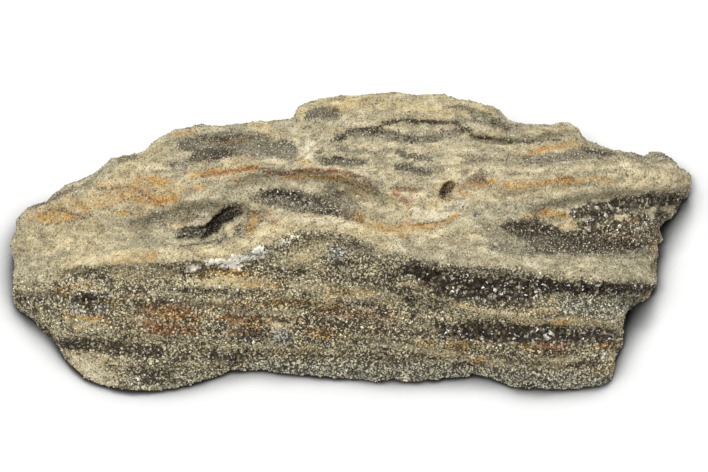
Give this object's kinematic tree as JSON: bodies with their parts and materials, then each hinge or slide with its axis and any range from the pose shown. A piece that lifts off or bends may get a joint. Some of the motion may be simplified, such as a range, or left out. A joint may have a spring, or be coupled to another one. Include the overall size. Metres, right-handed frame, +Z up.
{
  "type": "petrified wood",
  "caption": "Split piece of petrified wood that lies on its flat underside, with ledges along the grain, a slot-like hollow, a small pit and beds of quartz points.",
  "frame": {"origin": "middle of the box's base, on the ground that the stone lies on", "axes": "+X along the grain, to the right in the picture; +Y away from the viewer, from the broken front face to the back; +Z up"},
  "size_m": [0.254, 0.105, 0.0573],
  "materials": {
    "stone": "rough tan and grey stone with a crust of small glinting quartz points"
  },
  "bodies": {
    "root": {"petrified_wood": "stone"}
  },
  "joints": []
}
